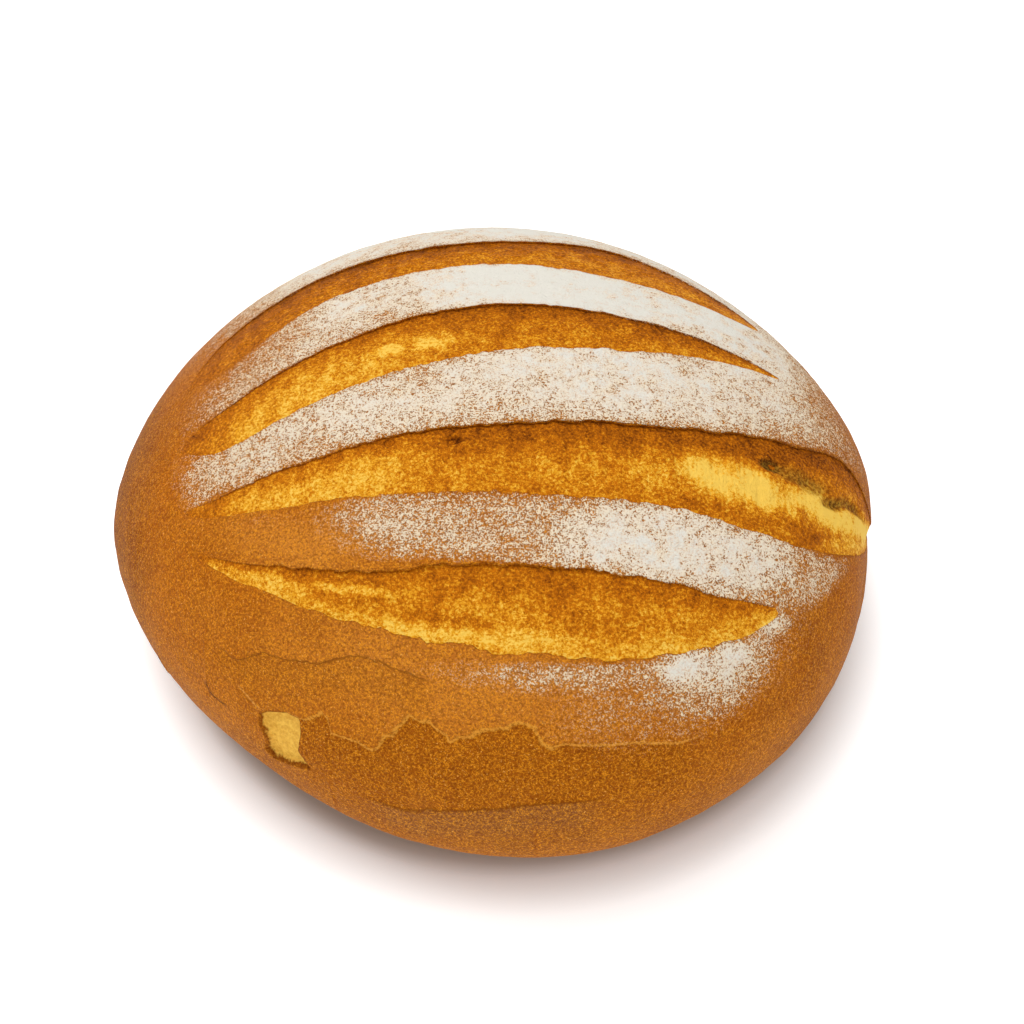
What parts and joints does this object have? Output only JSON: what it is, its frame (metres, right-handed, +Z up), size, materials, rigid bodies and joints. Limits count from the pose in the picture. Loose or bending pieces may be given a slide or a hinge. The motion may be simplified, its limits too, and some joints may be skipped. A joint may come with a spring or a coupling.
{
  "type": "sourdough loaf",
  "caption": "Round country loaf with a flat base, a domed floured crust and long open scores across its top.",
  "frame": {"origin": "centre of the loaf's bounding box on the surface that it rests on", "axes": "+X along the scores towards the fuller tip, +Y towards the back of the loaf, +Z up"},
  "size_m": [0.27, 0.268, 0.1196],
  "materials": {
    "crust": "matt"
  },
  "bodies": {
    "root": {"loaf": "crust"}
  },
  "joints": []
}
